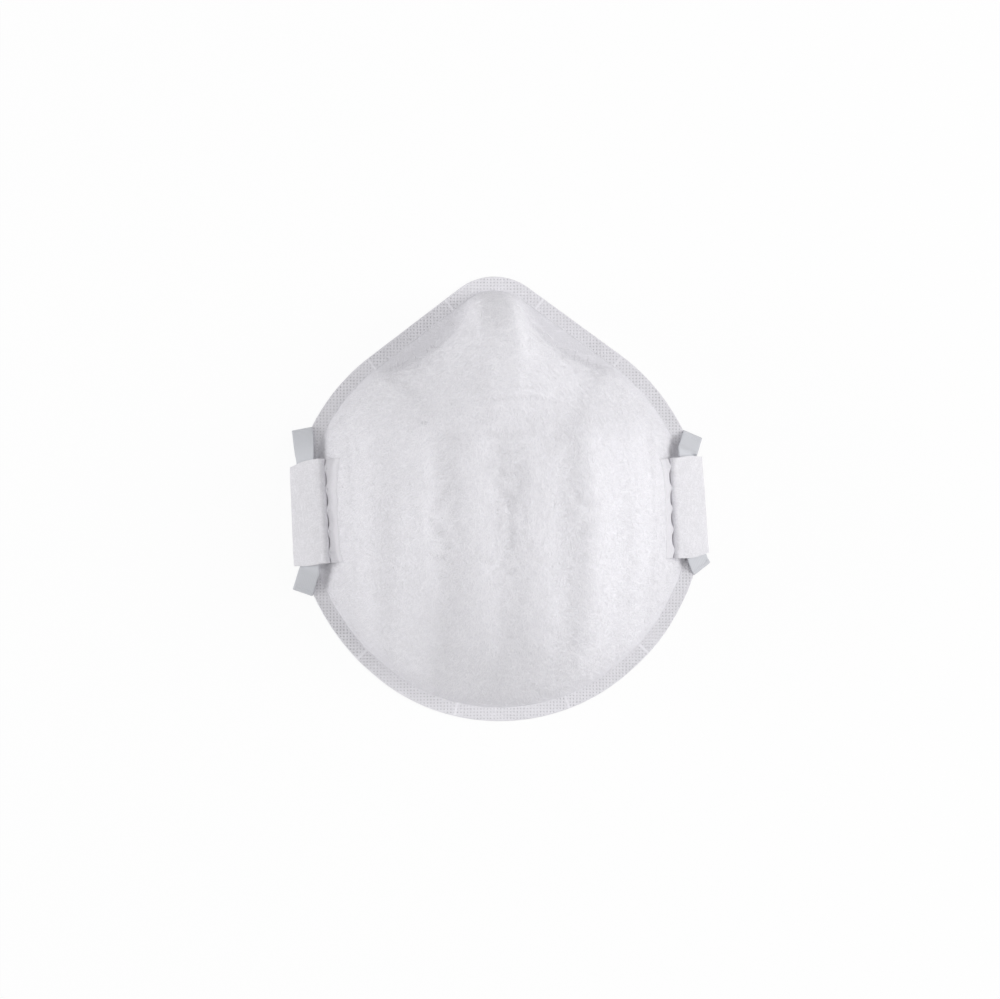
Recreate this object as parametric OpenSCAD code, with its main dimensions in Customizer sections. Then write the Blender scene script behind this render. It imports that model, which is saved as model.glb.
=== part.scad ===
// Disposable dust mask: a moulded cup of nonwoven layers with a welded rim, a folded tab welded to
// each side and one flat elastic band, which runs through both tabs and is tucked behind the cup.
// Millimetres. The rim lies on z = 0, +Z is the front of the mask and +Y points to the nose.

/* [Outline] */
// Radius of the outline round the nose
nose_r = 18; // [16:0.5:20]
// Distance from the middle of the mask to the middle of the nose arc
nose_y = 50.8; // [49:0.2:53]
// Radius of the cheek and chin arcs
cheek_r = 61.8; // [60:0.2:64]
// Sideways distance of each cheek arc's middle
cheek_x = 2; // [1:0.2:3]
// Distance of the cheek arcs' middle towards the chin
cheek_drop = 5.3; // [4.5:0.1:6]
// Distance of the chin arc's middle towards the chin
chin_drop = 7; // [6.4:0.1:8]

/* [Rim] */
// Width of the flat welded rim
rim_w = 4.2; // [3.6:0.1:5]
// Thickness of all layers pressed together in the rim
rim_t = 1; // [0.9:0.05:1.2]
// Rise of the rim at both sides, where the band passes under it
side_lift = 1.3; // [1.2:0.05:1.6]
// End of the raised stretch towards the nose
lift_top = 18; // [16:1:22]
// End of the raised stretch towards the chin
lift_bottom = -26; // [-30:1:-24]
// Length over which the raised stretch runs out
lift_fade = 12; // [10:1:16]

/* [Cup] */
// Height of the cup's front above the surface that it lies on
cup_h = 46; // [42:0.5:50]
// Fullness of the cheeks and chin: a larger number gives a flatter front and steeper sides
side_power = 2.8; // [2.5:0.1:3.2]
// Fall of the ridge from the front to the nose, as a share of the height
ridge_fall = 0.42; // [0.36:0.02:0.5]
// Steepness of the ridge's end at the nose
nose_power = 12; // [9:0.5:15]
// Step from the rim to the foot of the cup
foot_step = 0.6; // [0.5:0.1:0.9]
// Width of the flat wing between the rim and the nose ridge
wing_w = 5.6; // [4:0.1:7]
// Rise of that wing
wing_rise = 1.4; // [0.5:0.1:2.5]
// Distance between the moulded ribs on the front
rib_pitch = 18; // [15:0.5:21]
// Height of the ribs above the grooves
rib_h = 1.3; // [0.6:0.1:1.8]
// Slope of the flat side facets
facet_slope = 61; // [59:0.5:63]
// Distance of the facets' planes inside the widest points of the outline, at the rim's underside
facet_inset = 5; // [3.8:0.2:5.8]

/* [Layers] */
// Thickness of the needle-felt cover
cover_t = 1.4; // [1:0.1:1.8]
// Thickness of each filter web
web_t = 0.4; // [0.3:0.05:0.6]
// Thickness of the support shell
shell_t = 0.7; // [0.5:0.05:1]
// Thickness of the inner lining
lining_t = 0.3; // [0.25:0.05:0.5]

/* [Nose clip and foam] */
// Thickness of the aluminium strip
clip_t = 0.6; // [0.4:0.05:0.9]
// Thickness of the foam strip
foam_t = 3; // [2:0.25:4]
// Gap that the glue fills behind the foam
glue_t = 0.2; // [0.1:0.05:0.3]

/* [Tabs] */
// Length of each tab along the side
tab_len = 31.5; // [28:0.5:34]
// Distance of the tabs' middle from the middle of the mask
tab_y = -3.4; // [-5:0.2:-2]
// Width from the hinge line to the fold
tab_w = 12.6; // [12:0.1:14]
// Thickness of the folded tab's fabric
felt_t = 0.7; // [0.5:0.05:0.9]
// Clearance of the band inside the tab, on each face
band_gap = 0.3; // [0.25:0.05:0.5]
// Downward slope of the tabs
tab_slope = 37; // [34:1:38]
// Lean of the left tab along its hinge
left_lean = -1.7; // [-3:0.1:0]
// Lean of the right tab along its hinge
right_lean = 4; // [2:0.1:5]
// Height of the weld row on the facet
weld_z = 10.6; // [10:0.1:12]
// Clearance between the tab and the facet
hinge_gap = 0.3; // [0.25:0.05:0.5]
// Width of the welded strip
flange_w = 3.2; // [2.5:0.1:4]
// Distance between the fused spots
weld_pitch = 6.4; // [5:0.2:8]
// Diameter of a fused spot
weld_d = 2; // [1.4:0.1:2.4]

/* [Elastic band] */
// Width of the band
band_w = 6.5; // [6:0.1:7]
// Thickness of the band
band_t = 0.7; // [0.6:0.05:0.8]

/* [Hidden] */

// The hinge axes and the folds of the band, which the record repeats in metres.
UP = [0, 0, 1];
half_w = cheek_x + cheek_r;
facet_x = half_w - facet_inset;
tab_h = 2 * felt_t + 2 * band_gap + band_t;
hinge_foot = [facet_x - weld_z / tan(facet_slope), weld_z];
hinge_off = tab_h / 2 + hinge_gap;
hinge_x = hinge_foot.x + hinge_off * sin(facet_slope);
hinge_z = hinge_foot.y + hinge_off * cos(facet_slope);
floor_gap = 0.02;

function mix(a, b, t) = a + (b - a) * t;
function unit(v) = v / norm(v);
function ease(t) = let (c = min(max(t, 0), 1)) c * c * (3 - 2 * c);
function heading(a) = [cos(a), sin(a)];
function about_y(v, a) = [v.x * cos(a) + v.z * sin(a), v.y, v.z * cos(a) - v.x * sin(a)];
function about_z(v, a) = [v.x * cos(a) - v.y * sin(a), v.x * sin(a) + v.y * cos(a), v.z];

// ---- Outline. A station is a point of the outline with the arc that it lies on:
// [middle of the arc, radius, angle, share of the wing, share of the nose ridge].
wing_bow = 0.6;
nose_n = 3;
line_n = 6;
cheek_n = 15;
chin_n = 7;
nose_c = [0, nose_y];
cheek_c = [cheek_x, -cheek_drop];
chin_c = [0, -chin_drop];
side_dir = cheek_c - nose_c;
side_angle = atan2(side_dir.y, side_dir.x) + acos((nose_r - cheek_r) / norm(side_dir));
chin_dir = chin_c - cheek_c;
chin_angle = atan2(chin_dir.y, chin_dir.x) + 90;

half = concat(
    [for (k = [0 : nose_n - 1]) [nose_c, nose_r, mix(90, side_angle, k / nose_n), 0, 1]],
    [for (k = [0 : line_n])
        let (t = k / line_n, wing = pow(sin(180 * t), wing_bow))
        [mix(nose_c, cheek_c, t), mix(nose_r, cheek_r, t), side_angle, wing, 1 - t * t]],
    [for (k = [1 : cheek_n]) [cheek_c, cheek_r, mix(side_angle, chin_angle, k / cheek_n), 0, 0]],
    [for (k = [1 : chin_n]) [chin_c, cheek_r, mix(chin_angle, -90, k / chin_n), 0, 0]]
);
half_n = len(half);
count = 2 * half_n - 2;
function turn(i) = (i % count + count) % count;
function flipped(s) = [[-s[0].x, s[0].y], s[1], 180 - s[2], s[3], s[4]];
function station(i) =
    let (k = turn(i))
    k < half_n ? half[k] : flipped(half[2 * half_n - 2 - k]);
function outline(s, inset) = s[0] + (s[1] - inset) * heading(s[2]);

// ---- Front surface. Rings 0 and 1 are the rim's edges, ring 2 is the foot of the cup, and the
// others are the foot drawn in towards the middle by these shares.
ring_share = [1, 0.965, 0.92, 0.86, 0.79, 0.7, 0.59, 0.47, 0.33, 0.17];
ring_n = len(ring_share) + 2;
middle = [0, -5];
rib_top = 24;
rib_bottom = -52;
rib_fade = 6;
rib_edge = 44;
// Shares of the way from the middle to the foot: where the ribs end, where the foot begins to rise
// with the rim, and from where the facets no longer cut the cup.
rib_end = 0.85;
foot_from = 0.88;
facet_end = 0.98;
share_fade = 0.1;
ridge_bow = 1.6;

function lift(y) =
    side_lift
    * ease((lift_top + lift_fade - y) / lift_fade)
    * ease((y - lift_bottom + lift_fade) / lift_fade);
function rib(x, y, share) =
    -rib_h / 2 * cos(360 * x / rib_pitch) * ease((rib_top - y) / rib_fade) * ease((y - rib_bottom) / rib_fade)
    * ease((rib_edge - abs(x)) / rib_fade) * ease((rib_end - share) / share_fade);
function side_form(share) = 1 - pow(share, side_power);
function nose_form(share) = (1 - ridge_fall * pow(share, ridge_bow)) * (1 - pow(share, nose_power));
function facet_limit(z) = facet_x - z / tan(facet_slope);
function cut_to_facet(p) = [sign(p.x) * min(abs(p.x), max(facet_limit(p.z), 0)), p.y, p.z];

function cup_point(s, share) =
    let (
        foot = outline(s, rim_w + foot_step + wing_w * s[3]),
        xy = middle + share * (foot - middle),
        foot_z = rim_t + foot_step + wing_rise * s[3],
        form = mix(side_form(share), nose_form(share), s[4]),
        rise = lift(xy.y) * ease((share - foot_from) / share_fade),
        z = mix(foot_z, cup_h, form) + rib(xy.x, xy.y, share) + rise
    )
    share > facet_end ? [xy.x, xy.y, z] : cut_to_facet([xy.x, xy.y, z]);
function rim_point(s, inset) =
    let (xy = outline(s, inset))
    [xy.x, xy.y, rim_t + lift(xy.y)];
function front_point(i, j) =
    let (s = station(i))
    j == 0 ? rim_point(s, 0)
    : j == 1 ? rim_point(s, rim_w)
    : cup_point(s, ring_share[j - 2]);

grid = [for (j = [0 : ring_n - 1]) [for (i = [0 : count - 1]) front_point(i, j)]];
apex = [middle.x, middle.y, cup_h + rib(middle.x, middle.y, 0)];
function grid_point(i, j) = j == ring_n ? apex : grid[j][turn(i)];
function grid_normal(i, j) =
    j < 2 ? UP
    : unit(cross(grid_point(i, j + 1) - grid_point(i, j - 1), grid_point(i + 1, j) - grid_point(i - 1, j)));
normals = [for (j = [0 : ring_n - 1]) [for (i = [0 : count - 1]) grid_normal(i, j)]];

// ---- Layers. Each face between two layers lies at a depth under the front surface: the full
// thickness in the cup, and its share of the rim's thickness where all layers are pressed flat.
thickness = [cover_t, web_t, web_t, shell_t, lining_t];
pressed = [0.34, 0.1, 0.1, 0.28, 0.18];
function sum_to(list, k) = k == 0 ? 0 : list[k - 1] + sum_to(list, k - 1);
total_t = sum_to(thickness, len(thickness));
foam_top = total_t + glue_t;
foot_share = 0.35;
function depth(face, j) =
    let (thin = rim_t * sum_to(pressed, face), full = sum_to(thickness, face))
    j < 2 ? thin : j == 2 ? mix(thin, full, foot_share) : full;
function under(i, j, d) =
    j == ring_n ? apex - d * UP : grid[j][turn(i)] - d * normals[j][turn(i)];

// One layer of the cup, between two faces.
module layer(face) {
    last = count - 1;
    rings = ring_n - 1;
    inner = ring_n * count;
    top_apex = 2 * inner;
    points = concat(
        [for (j = [0 : rings]) for (i = [0 : last]) under(i, j, depth(face, j))],
        [for (j = [0 : rings]) for (i = [0 : last]) under(i, j, depth(face + 1, j))],
        [under(0, ring_n, depth(face, ring_n)), under(0, ring_n, depth(face + 1, ring_n))]
    );
    faces = concat(
        [for (j = [0 : rings - 1]) for (i = [0 : last])
            let (a = j * count + i, b = j * count + turn(i + 1), c = b + count, d = a + count)
            each [
                [a, b, c], [a, c, d],
                [inner + c, inner + b, inner + a], [inner + d, inner + c, inner + a]
            ]],
        [for (i = [0 : last])
            let (a = rings * count + i, b = rings * count + turn(i + 1))
            each [[a, b, top_apex], [inner + b, inner + a, top_apex + 1]]],
        [for (i = [0 : last])
            let (a = i, b = turn(i + 1))
            each [[b, a, inner + a], [b, inner + a, inner + b]]]
    );
    polyhedron(points, faces);
}

// A strip that lies along the rings j0 to j1 across the nose, between two depths.
module nose_strip(reach, j0, j1, top_d, low_d) {
    cols = 2 * reach + 1;
    rows = j1 - j0 + 1;
    size = cols * rows;
    points = concat(
        [for (j = [j0 : j1]) for (i = [-reach : reach]) under(i, j, top_d)],
        [for (j = [j0 : j1]) for (i = [-reach : reach]) under(i, j, low_d)]
    );
    ring = concat(
        [for (i = [0 : cols - 1]) i],
        [for (j = [1 : rows - 1]) j * cols + cols - 1],
        [for (i = [1 : cols - 1]) size - 1 - i],
        [for (j = [1 : rows - 2]) size - cols - j * cols]
    );
    edge_n = len(ring);
    faces = concat(
        [for (j = [0 : rows - 2]) for (i = [0 : cols - 2])
            let (a = j * cols + i, b = a + 1, c = b + cols, d = a + cols)
            each [
                [a, b, c], [a, c, d],
                [size + c, size + b, size + a], [size + d, size + c, size + a]
            ]],
        [for (k = [0 : edge_n - 1])
            let (a = ring[k], b = ring[(k + 1) % edge_n])
            each [[b, a, size + a], [b, size + a, size + b]]]
    );
    polyhedron(points, faces);
}

// ---- Tabs. In a tab's own frame, the hinge is the Y axis and +X runs down to the fold. The hinge
// leans within the plane of the facet.
module stadium(reach, h) {
    circle(d = h, $fn = 32);
    translate([reach - h, 0]) circle(d = h, $fn = 32);
    translate([0, -h / 2]) square([reach - h, h]);
}

module on_side(side, lean, slope, at) {
    mirror([side < 0 ? 1 : 0, 0, 0])
        translate([at.x, tab_y, at.y])
            rotate([0, facet_slope, 0])
                rotate([0, 0, lean])
                    rotate([0, slope - facet_slope, 0])
                        children();
}

module tab(side, lean) {
    on_side(side, lean, tab_slope, [hinge_x, hinge_z])
        rotate([90, 0, 0])
            linear_extrude(tab_len, center = true)
                difference() {
                    stadium(tab_w + tab_h / 2, tab_h);
                    stadium(tab_w + tab_h / 2 - 2 * felt_t, tab_h - 2 * felt_t);
                }
}

// The flange and its fused spots lie on the facet, just above the hinge.
facet_gap = 0.1;
flange_start = tab_h / 2;
flange_t = felt_t - facet_gap;
module flange(side, lean) {
    on_side(side, lean, facet_slope, hinge_foot)
        translate([-flange_start - flange_w, -tab_len / 2, facet_gap])
            cube([flange_w, tab_len, flange_t]);
}

weld_n = floor((tab_len - weld_d) / weld_pitch) + 1;
weld_h = 0.3;
module welds(side, lean) {
    on_side(side, lean, facet_slope, hinge_foot)
        translate([-flange_start - flange_w / 2, 0, facet_gap + flange_t])
            for (k = [0 : weld_n - 1])
                translate([0, (k - (weld_n - 1) / 2) * weld_pitch, 0])
                    cylinder(d = weld_d, h = weld_h, $fn = 24);
}

// ---- Band. A ring is [middle, side]: side points across the band and is half its width long.
function smooth_point(list, k, t) =
    let (
        n = len(list) - 1,
        a = list[max(k - 1, 0)],
        b = list[k],
        c = list[min(k + 1, n)],
        d = list[min(k + 2, n)]
    )
    0.5 * (2 * b + (c - a) * t + (2 * a - 5 * b + 4 * c - d) * t * t + (3 * b - a - 3 * c + d) * t * t * t);
function smooth_route(list, steps) = concat(
    [for (k = [0 : len(list) - 2]) for (q = [0 : steps - 1]) smooth_point(list, k, q / steps)],
    [list[len(list) - 1]]
);
function along(list, k) = unit(list[min(k + 1, len(list) - 1)] - list[max(k - 1, 0)]);

module band(rings) {
    mids = [for (r = rings) r[0]];
    last = len(rings) - 1;
    points = [for (k = [0 : last])
        let (side = rings[k][1], face = unit(cross(side, along(mids, k))) * band_t / 2)
        each [mids[k] + side + face, mids[k] - side + face, mids[k] - side - face, mids[k] + side - face]];
    faces = concat(
        [[0, 3, 2], [0, 2, 1]],
        [for (k = [0 : last - 1]) for (q = [0 : 3])
            let (a = 4 * k + q, b = 4 * k + (q + 1) % 4)
            each [[a, b, b + 4], [a, b + 4, a + 4]]],
        [[4 * last, 4 * last + 1, 4 * last + 2], [4 * last, 4 * last + 2, 4 * last + 3]]
    );
    polyhedron(points, faces);
}

// Where the band turns back under itself, from the outline's widest points and the tabs' ends:
// [x, y, angle of the crease].
left_top_off = [2.9, 8.95];
left_bottom_off = [1.3, 8.05];
right_top_off = [2.1, 6.05];
right_bottom_off = [0.6, 5.15];
tab_top = tab_y + tab_len / 2;
tab_bottom = tab_y - tab_len / 2;
left_top = [left_top_off.x - half_w, tab_top + left_top_off.y, 11];
left_bottom = [left_bottom_off.x - half_w, tab_bottom - left_bottom_off.y, -21];
right_top = [half_w - right_top_off.x, tab_top + right_top_off.y, -24];
right_bottom = [half_w - right_bottom_off.x, tab_bottom - right_bottom_off.y, 34];
fold_low = floor_gap + band_t / 2;
fold_high = rim_t + side_lift + band_gap + band_t / 2;
fold_r = (fold_high - fold_low) / 2;
fold_steps = 4;

// The half turn at one crease, from the upper layer at 90 degrees to the lower one at -90.
function crease_side(f, toward) = toward * [cos(f[2]), sin(f[2]), 0] * band_w / 2;
function turned_back(f, out, toward) = [for (q = [0 : fold_steps])
    let (a = 90 - 180 * q / fold_steps, way = out * [-sin(f[2]), cos(f[2]), 0])
    [[f.x, f.y, fold_low + fold_r] + fold_r * (cos(a) * way + sin(a) * UP), crease_side(f, toward)]];

// A point in a tab's frame, carried to its place, and the way across the band there.
band_mid = 6.4;
tab_ends = [1.06, 0.8, 0.3];
ways_down = [0.35, 0.7];
function from_tab(v, lean) = about_y(about_z(about_y(v, tab_slope - facet_slope), lean), facet_slope);
function to_side(v, side) = [side * v.x, v.y, v.z];
function in_tab(side, lean, y) =
    to_side([hinge_x, tab_y, hinge_z] + from_tab([band_mid, y, 0], lean), side);
function across_tab(side, lean) = to_side(from_tab([band_w / 2, 0, 0], lean), side);

// The stretch of the band that runs through one tab, with both half turns.
function run_rings(side, lean, top, bottom) =
    let (
        inside = [for (e = concat(tab_ends, [for (k = [2 : -1 : 0]) -tab_ends[k]]))
            [in_tab(side, lean, e * tab_len / 2), across_tab(side, lean)]],
        upper = turned_back(top, 1, side),
        lower = turned_back(bottom, -1, side),
        turned = [for (k = [fold_steps : -1 : 0]) upper[k]]
    )
    concat(
        turned,
        [for (t = ways_down) mix(upper[0], inside[0], t)],
        inside,
        [for (t = ways_down) mix(inside[5], lower[0], t)],
        lower
    );

// The free runs lie in the mouth of the cup, from one fold to the other, which they reach from inside:
// [x, y, turn of the band on to its edge]. The routes are written for a mask of this half width.
fold_clear = 1.4;
route_w = 63.8;
crown_route = [
    [-57.8, 15.6, 0],
    [-54.7, 11.4, 12],
    [-52, 7.7, 45],
    [-49.3, 4.2, 75],
    [-46.8, 0.2, 90],
    [-43.8, -6.2, 90],
    [-39.6, -12.2, 90],
    [-33, -16, 90],
    [-25.6, -14, 90],
    [-21.6, -7.4, 90],
    [-19.6, 0.4, 90],
    [-15.6, 7.8, 90],
    [-8.6, 12.8, 90],
    [0, 14.6, 90],
    [9, 14.6, 90],
    [18, 13, 90],
    [26.6, 10, 90],
    [35, 7, 90],
    [43.8, 6.2, 90],
    [47.6, 7.4, 78],
    [51, 9.7, 45],
    [54.2, 12.5, 12],
    [57.6, 15.3, 0]
];
neck_route = [
    [-58, -23.8, 0],
    [-53.8, -21.6, 18],
    [-50.2, -20, 55],
    [-46, -19.6, 90],
    [-38, -21.2, 90],
    [-29, -23, 90],
    [-19, -23.6, 90],
    [-9, -23.2, 90],
    [0.4, -21.4, 90],
    [8.6, -17.4, 90],
    [14.6, -11, 90],
    [20, -4.2, 90],
    [27.4, 0, 90],
    [36, -0.4, 90],
    [43, -4.6, 90],
    [48, -9.4, 90],
    [50.8, -12, 75],
    [53.4, -14.4, 45],
    [56, -16.8, 12],
    [59, -19.8, 0]
];

function at_fold(f, out) = [f.x + out * fold_clear * sin(f[2]), f.y - out * fold_clear * cos(f[2]), 0];
function crease_sign(f, right) = sign([cos(f[2]), sin(f[2]), 0] * right);
function free_rings(route, start, finish, out) =
    let (
        spread = [for (p = route) [p.x * half_w / route_w, p.y, p.z]],
        flat = smooth_route(concat([at_fold(start, out)], spread, [at_fold(finish, out)]), 2),
        turned = [for (p = flat) max(p.z, 0)],
        low = [for (k = [0 : len(flat) - 1])
            [flat[k].x, flat[k].y, floor_gap + band_w / 2 * sin(turned[k]) + band_t / 2 * cos(turned[k])]],
        last = len(flat) - 1
    )
    [for (k = [0 : last])
        let (
            right = unit(cross(along(low, k), UP)),
            side = k == 0 ? crease_side(start, crease_sign(start, right))
                : k == last ? crease_side(finish, crease_sign(finish, right))
                : (right * cos(turned[k]) - out * UP * sin(turned[k])) * band_w / 2
        )
        [low[k], side]];

module outer_cover() { color([0.93, 0.93, 0.95]) layer(0); }
module filter_web_front() { color([0.9, 0.94, 0.98]) layer(1); }
module filter_web_back() { color([0.86, 0.92, 0.97]) layer(2); }
module support_shell() { color([0.96, 0.96, 0.93]) layer(3); }
module inner_lining() { color([0.97, 0.97, 0.97]) layer(4); }
module nose_clip() { color([0.75, 0.76, 0.78]) nose_strip(8, 5, 6, cover_t - clip_t, cover_t); }
module nose_foam() { color([0.55, 0.56, 0.58]) nose_strip(9, 4, 6, foam_top, foam_top + foam_t); }
module left_tab() { color([0.92, 0.92, 0.94]) tab(-1, left_lean); }
module right_tab() { color([0.92, 0.92, 0.94]) tab(1, right_lean); }
module left_tab_flange() { color([0.9, 0.9, 0.93]) flange(-1, left_lean); }
module right_tab_flange() { color([0.9, 0.9, 0.93]) flange(1, right_lean); }
module left_weld_points() { color([0.84, 0.84, 0.87]) welds(-1, left_lean); }
module right_weld_points() { color([0.84, 0.84, 0.87]) welds(1, right_lean); }
module left_strap_run() { color([0.78, 0.78, 0.8]) band(run_rings(-1, left_lean, left_top, left_bottom)); }
module right_strap_run() { color([0.78, 0.78, 0.8]) band(run_rings(1, right_lean, right_top, right_bottom)); }
module crown_strap() { color([0.76, 0.76, 0.79]) band(free_rings(crown_route, left_top, right_top, 1)); }
module neck_strap() { color([0.76, 0.76, 0.79]) band(free_rings(neck_route, left_bottom, right_bottom, -1)); }

outer_cover();
filter_web_front();
filter_web_back();
support_shell();
inner_lining();
nose_clip();
nose_foam();
left_tab();
right_tab();
left_tab_flange();
right_tab_flange();
left_weld_points();
right_weld_points();
left_strap_run();
right_strap_run();
crown_strap();
neck_strap();
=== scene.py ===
import math

import bpy
import numpy as np
from mathutils import Matrix, Vector
from mathutils.bvhtree import BVHTree


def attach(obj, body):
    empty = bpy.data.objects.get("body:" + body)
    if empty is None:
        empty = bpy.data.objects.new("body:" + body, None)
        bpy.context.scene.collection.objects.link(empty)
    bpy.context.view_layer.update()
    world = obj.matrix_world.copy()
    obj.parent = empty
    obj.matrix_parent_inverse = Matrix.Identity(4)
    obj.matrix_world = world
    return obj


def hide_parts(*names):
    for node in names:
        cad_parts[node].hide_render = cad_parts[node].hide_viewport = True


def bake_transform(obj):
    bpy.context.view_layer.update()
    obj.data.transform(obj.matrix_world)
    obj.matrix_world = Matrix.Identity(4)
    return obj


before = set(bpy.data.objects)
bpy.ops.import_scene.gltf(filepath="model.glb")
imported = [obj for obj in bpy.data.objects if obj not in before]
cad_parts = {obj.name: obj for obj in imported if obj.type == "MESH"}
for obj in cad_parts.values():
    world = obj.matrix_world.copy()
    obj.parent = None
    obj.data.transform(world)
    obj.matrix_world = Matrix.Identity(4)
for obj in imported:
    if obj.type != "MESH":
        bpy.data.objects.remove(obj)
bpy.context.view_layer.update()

mm = 0.001  # all sizes below are in millimetres and angles in degrees
sameSpot = 2e-7  # metres; points closer than this are joined
up = np.array([0.0, 0.0, 1.0])


def ease(t):
    c = np.clip(t, 0, 1)
    return c * c * (3 - 2 * c)


def mix(a, b, t):
    return a + (b - a) * t


def sinD(a):
    return np.sin(np.radians(a))


def cosD(a):
    return np.cos(np.radians(a))


def between(v, low, high, lowFade, highFade):
    # 1 well inside, easing to 0 at both ends
    return ease((high - v) / highFade) * ease((v - low) / lowFade)


def bell(t):
    return np.exp(-0.5 * t ** 2)


def unit(v):
    return v / np.maximum(np.linalg.norm(v, axis=-1, keepdims=True), 1e-12)


def stacked(*parts):
    return np.stack(np.broadcast_arrays(*parts), -1)


def waves(points, size, seed, count=14):
    # soft lumps of about this size, from -1 to 1
    rng = np.random.default_rng(seed)
    total = np.zeros(points.shape[:-1])
    for _ in range(count):
        way = rng.normal(size=3)
        way /= np.linalg.norm(way)
        length = size * rng.uniform(0.7, 1.6)
        total += np.sin(points @ way * (2 * math.pi / length) + rng.uniform(0, 6.28))
    return total / math.sqrt(count)


def lumps(points, *kinds):
    # the sum of several waves, each given as height, size and seed
    return sum(height * waves(points, size, seed) for height, size, seed in kinds)


def readAll(items, key, width, kind=np.int32):
    values = np.zeros(len(items) * width, kind)
    items.foreach_get(key, values)
    return values.reshape(-1, width)


def writeAll(items, key, values, kind=np.float32):
    items.foreach_set(key, np.asarray(values, kind).ravel())


def pointsOf(piece):
    return readAll(piece.data.vertices, "co", 3, np.float32).astype(float) / mm


def deselectAll():
    if bpy.context.mode != "OBJECT":
        bpy.ops.object.mode_set(mode="OBJECT")
    bpy.ops.object.select_all(action="DESELECT")


def pick(piece):
    deselectAll()
    bpy.context.view_layer.objects.active = piece
    piece.select_set(True)


def weld():
    bpy.ops.mesh.remove_doubles(threshold=sameSpot)


def closeHoles():
    bpy.ops.mesh.fill_holes(sides=0)


def editMesh(piece, *steps):
    pick(piece)
    bpy.ops.object.mode_set(mode="EDIT")
    for step in steps:
        bpy.ops.mesh.select_all(action="SELECT")
        step()
    bpy.ops.object.mode_set(mode="OBJECT")


def gridPiece(name, points, uv=None, merge=True, fill=False, flip=False, sharp=None):
    # a grid primitive whose rows and columns are laid on the given points, closed where they meet
    rows, columns = points.shape[:2]
    deselectAll()
    bpy.ops.mesh.primitive_grid_add(x_subdivisions=columns - 1, y_subdivisions=rows - 1, size=1)
    piece = bpy.context.object
    piece.name = piece.data.name = name
    mesh = piece.data
    writeAll(mesh.vertices, "co", points * mm)
    if uv is not None:
        index = readAll(mesh.loops, "vertex_index", 1)[:, 0]
        writeAll(mesh.uv_layers[0].data, "uv", uv.reshape(-1, 2)[index])
    mesh.update()
    editMesh(piece, *[weld] * merge, *[closeHoles] * fill, *[bpy.ops.mesh.flip_normals] * flip)
    if sharp is None:
        bpy.ops.object.shade_smooth()
    else:
        bpy.ops.object.shade_smooth_by_angle(angle=math.radians(sharp))
    deselectAll()
    return piece


def paint(piece, name, values):
    attribute = piece.data.attributes.new(name, "FLOAT", "POINT")
    writeAll(attribute.data, "value", values)


def finishPiece(piece, body, slot, material, *nodes):
    piece.data.materials.append(material)
    if body:
        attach(piece, body)
    if nodes:
        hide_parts(*nodes)
    triangles = sum(len(face.vertices) - 2 for face in piece.data.polygons)
    print("made", piece.name, triangles, "triangles")


camera = {"lens": 85, "sensor": 36, "lookAt": (0.9, -0.2, 0), "sideways": -54.5, "height": 730, "roll": 0.9}


def placeCamera():
    deselectAll()
    target = np.array(camera["lookAt"]) * mm
    spot = target + np.array([camera["sideways"], 0, camera["height"]]) * mm
    bpy.ops.object.camera_add(location=spot)
    cam = bpy.context.object
    cam.data.lens = camera["lens"]
    cam.data.sensor_width = camera["sensor"]
    cam.data.clip_end = 20
    back = unit(spot - target)
    top = np.array([sinD(camera["roll"]), cosD(camera["roll"]), 0])
    right = unit(np.cross(top, back))
    cam.rotation_euler = Matrix([*zip(right, np.cross(back, right), back)]).to_euler()
    bpy.context.scene.camera = cam


placeCamera()
print("camera placed")


def setInputs(tree, node, values):
    for key, value in values.items():
        if isinstance(value, bpy.types.NodeSocket):
            tree.links.new(value, node.inputs[key])
        else:
            node.inputs[key].default_value = value


def put(tree, kind, values=(), **settings):
    node = tree.nodes.new(kind)
    for key, value in settings.items():
        setattr(node, key, value)
    setInputs(tree, node, dict(values))
    return node


def calc(operation, *values, kind="ShaderNodeMath", output=0):
    # the node goes into the tree of the first socket among the values
    tree = next(v.id_data for v in values if isinstance(v, bpy.types.NodeSocket))
    return put(tree, kind, enumerate(values), operation=operation).outputs[output]


def vectorCalc(operation, *values, output=0):
    return calc(operation, *values, kind="ShaderNodeVectorMath", output=output)


def noise(vector, scale, **values):
    values = {"Vector": vector, "Scale": scale, **values}
    return put(vector.id_data, "ShaderNodeTexNoise", values).outputs[0]


def smoothStep(value, low, high):
    values = {"Value": value, "From Min": low, "From Max": high}
    return put(value.id_data, "ShaderNodeMapRange", values, interpolation_type="SMOOTHSTEP").outputs["Result"]


def attribute(tree, name):
    return put(tree, "ShaderNodeAttribute", attribute_name=name).outputs["Fac"]


def newGroup(name, numbers, outputs):
    # a shader group that takes a vector and some numbers
    group = bpy.data.node_groups.new(name, "ShaderNodeTree")
    group.interface.new_socket(name="Vector", in_out="INPUT", socket_type="NodeSocketVector")
    for way, labels in (("INPUT", numbers), ("OUTPUT", outputs)):
        for label in labels:
            group.interface.new_socket(name=label, in_out=way, socket_type="NodeSocketFloat")
    return group, group.nodes.new("NodeGroupInput").outputs, group.nodes.new("NodeGroupOutput")


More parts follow.
